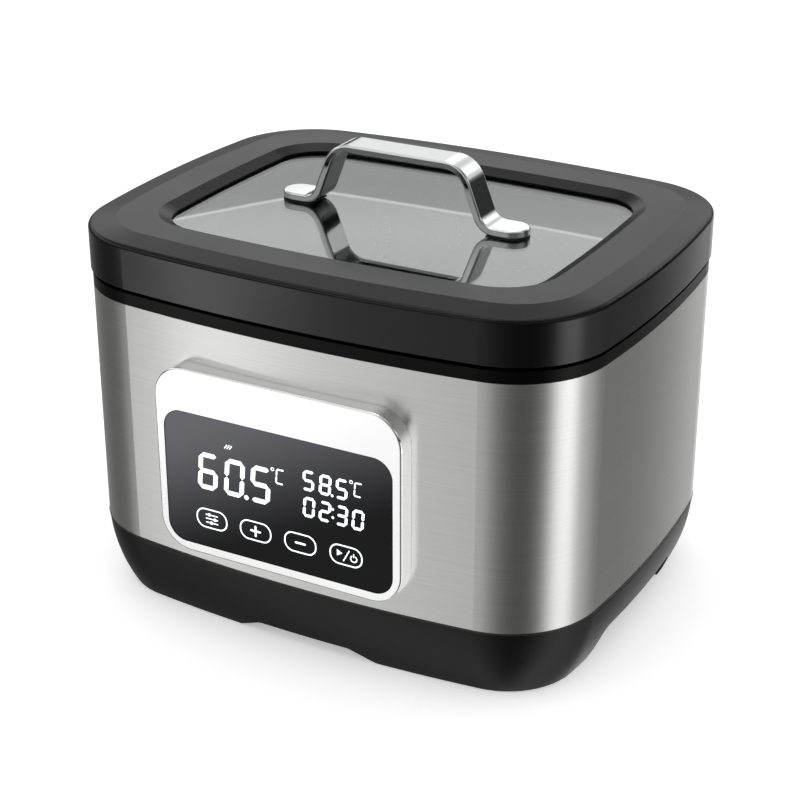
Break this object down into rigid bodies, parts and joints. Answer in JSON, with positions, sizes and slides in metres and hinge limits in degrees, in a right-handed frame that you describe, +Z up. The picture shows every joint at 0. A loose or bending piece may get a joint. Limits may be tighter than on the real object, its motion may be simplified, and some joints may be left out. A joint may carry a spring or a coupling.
{
  "type": "sous vide water bath",
  "caption": "Countertop sous vide water bath: bowed steel box with a drawn tank, lift-off glass lid, strap handle, raised touch panel with a digital display, and a magnet-driven impeller.",
  "frame": {"origin": "on the resting surface, under the middle of the whole appliance's box", "axes": "+X runs along the width to the right as the control panel is faced, -Y is the front with the control panel, +Z is up"},
  "size_m": [0.332, 0.2722, 0.269],
  "materials": {
    "moulded_black": "fine matte moulding",
    "brushed_stainless": "horizontal brushing",
    "drawn_stainless": "satin, drawn",
    "plated_steel": "zinc plated",
    "bright_chrome": "polished",
    "display_black": "black printed behind, polished face",
    "lid_clear": "clear tempered",
    "silicone_black": "soft matte",
    "silicone_grey": "soft matte",
    "felt": "glass fibre felt",
    "cast_aluminium": "as cast, machined face",
    "element_steel": "heat tinted tube",
    "ferrite": "ground ferrite and laminations",
    "sintered_bronze": "sintered",
    "nickel_plated": "nickel plated",
    "nylon_natural": "moulded",
    "circuit_laminate": "solder mask",
    "component_black": "moulded cases",
    "lit_segments": "white light diffuser",
    "inlet_black": "moulded"
  },
  "bodies": {
    "housing": {"base": "moulded_black", "foot_pads": "silicone_black", "outer_shell": "brushed_stainless", "shell_brackets": "plated_steel", "base_screws": "plated_steel", "tie_rods": "plated_steel", "tie_nuts": "plated_steel", "top_collar": "moulded_black", "tank_gasket": "silicone_grey", "tank": "drawn_stainless", "insulation": "felt", "heating_plate": "cast_aluminium", "heating_element": "element_steel", "thermal_cutout": "component_black", "motor_bracket": "plated_steel", "motor_posts": "plated_steel", "motor_screws": "plated_steel", "motor_can": "plated_steel", "motor_bushes": "sintered_bronze", "impeller_pin": "drawn_stainless", "impeller_clip": "drawn_stainless", "impeller_guard": "drawn_stainless", "temperature_probe": "drawn_stainless", "probe_nut": "plated_steel", "panel_bezel": "bright_chrome", "display_glass": "display_black", "panel_housing": "moulded_black", "led_module": "lit_segments", "touch_sensors": "component_black", "control_board": "circuit_laminate", "panel_bracket": "plated_steel", "panel_screws": "plated_steel", "power_inlet": "inlet_black", "inlet_pins": "nickel_plated", "inlet_screws": "plated_steel", "power_board": "circuit_laminate", "board_components": "component_black", "board_screws": "plated_steel"},
    "rotor": {"motor_shaft": "drawn_stainless", "motor_armature": "ferrite", "drive_magnet": "ferrite"},
    "impeller": {"impeller": "nylon_natural"},
    "lid": {"lid_frame": "moulded_black", "glass_gasket": "silicone_grey", "lid_glass": "lid_clear", "lid_ring": "moulded_black", "lid_ring_screws": "plated_steel", "lid_seal": "silicone_grey", "lid_handle": "bright_chrome", "handle_pads": "silicone_black", "handle_washers": "silicone_black", "handle_screws": "plated_steel"}
  },
  "joints": [
    {"name": "lid_lift", "type": "slide", "parent": "housing", "child": "lid", "axis": [0, 0, 1], "range_m": [0, 0.12]},
    {"name": "motor_spin", "type": "hinge", "parent": "housing", "child": "rotor", "pos_m": [0, 0.0036, 0.035], "axis": [0, 0, 1], "continuous": true},
    {"name": "impeller_spin", "type": "hinge", "parent": "housing", "child": "impeller", "pos_m": [0, 0.0036, 0.075], "axis": [0, 0, 1], "continuous": true}
  ],
  "couplings": [
    {"joint": "impeller_spin", "follows": "motor_spin", "ratio": 1}
  ]
}
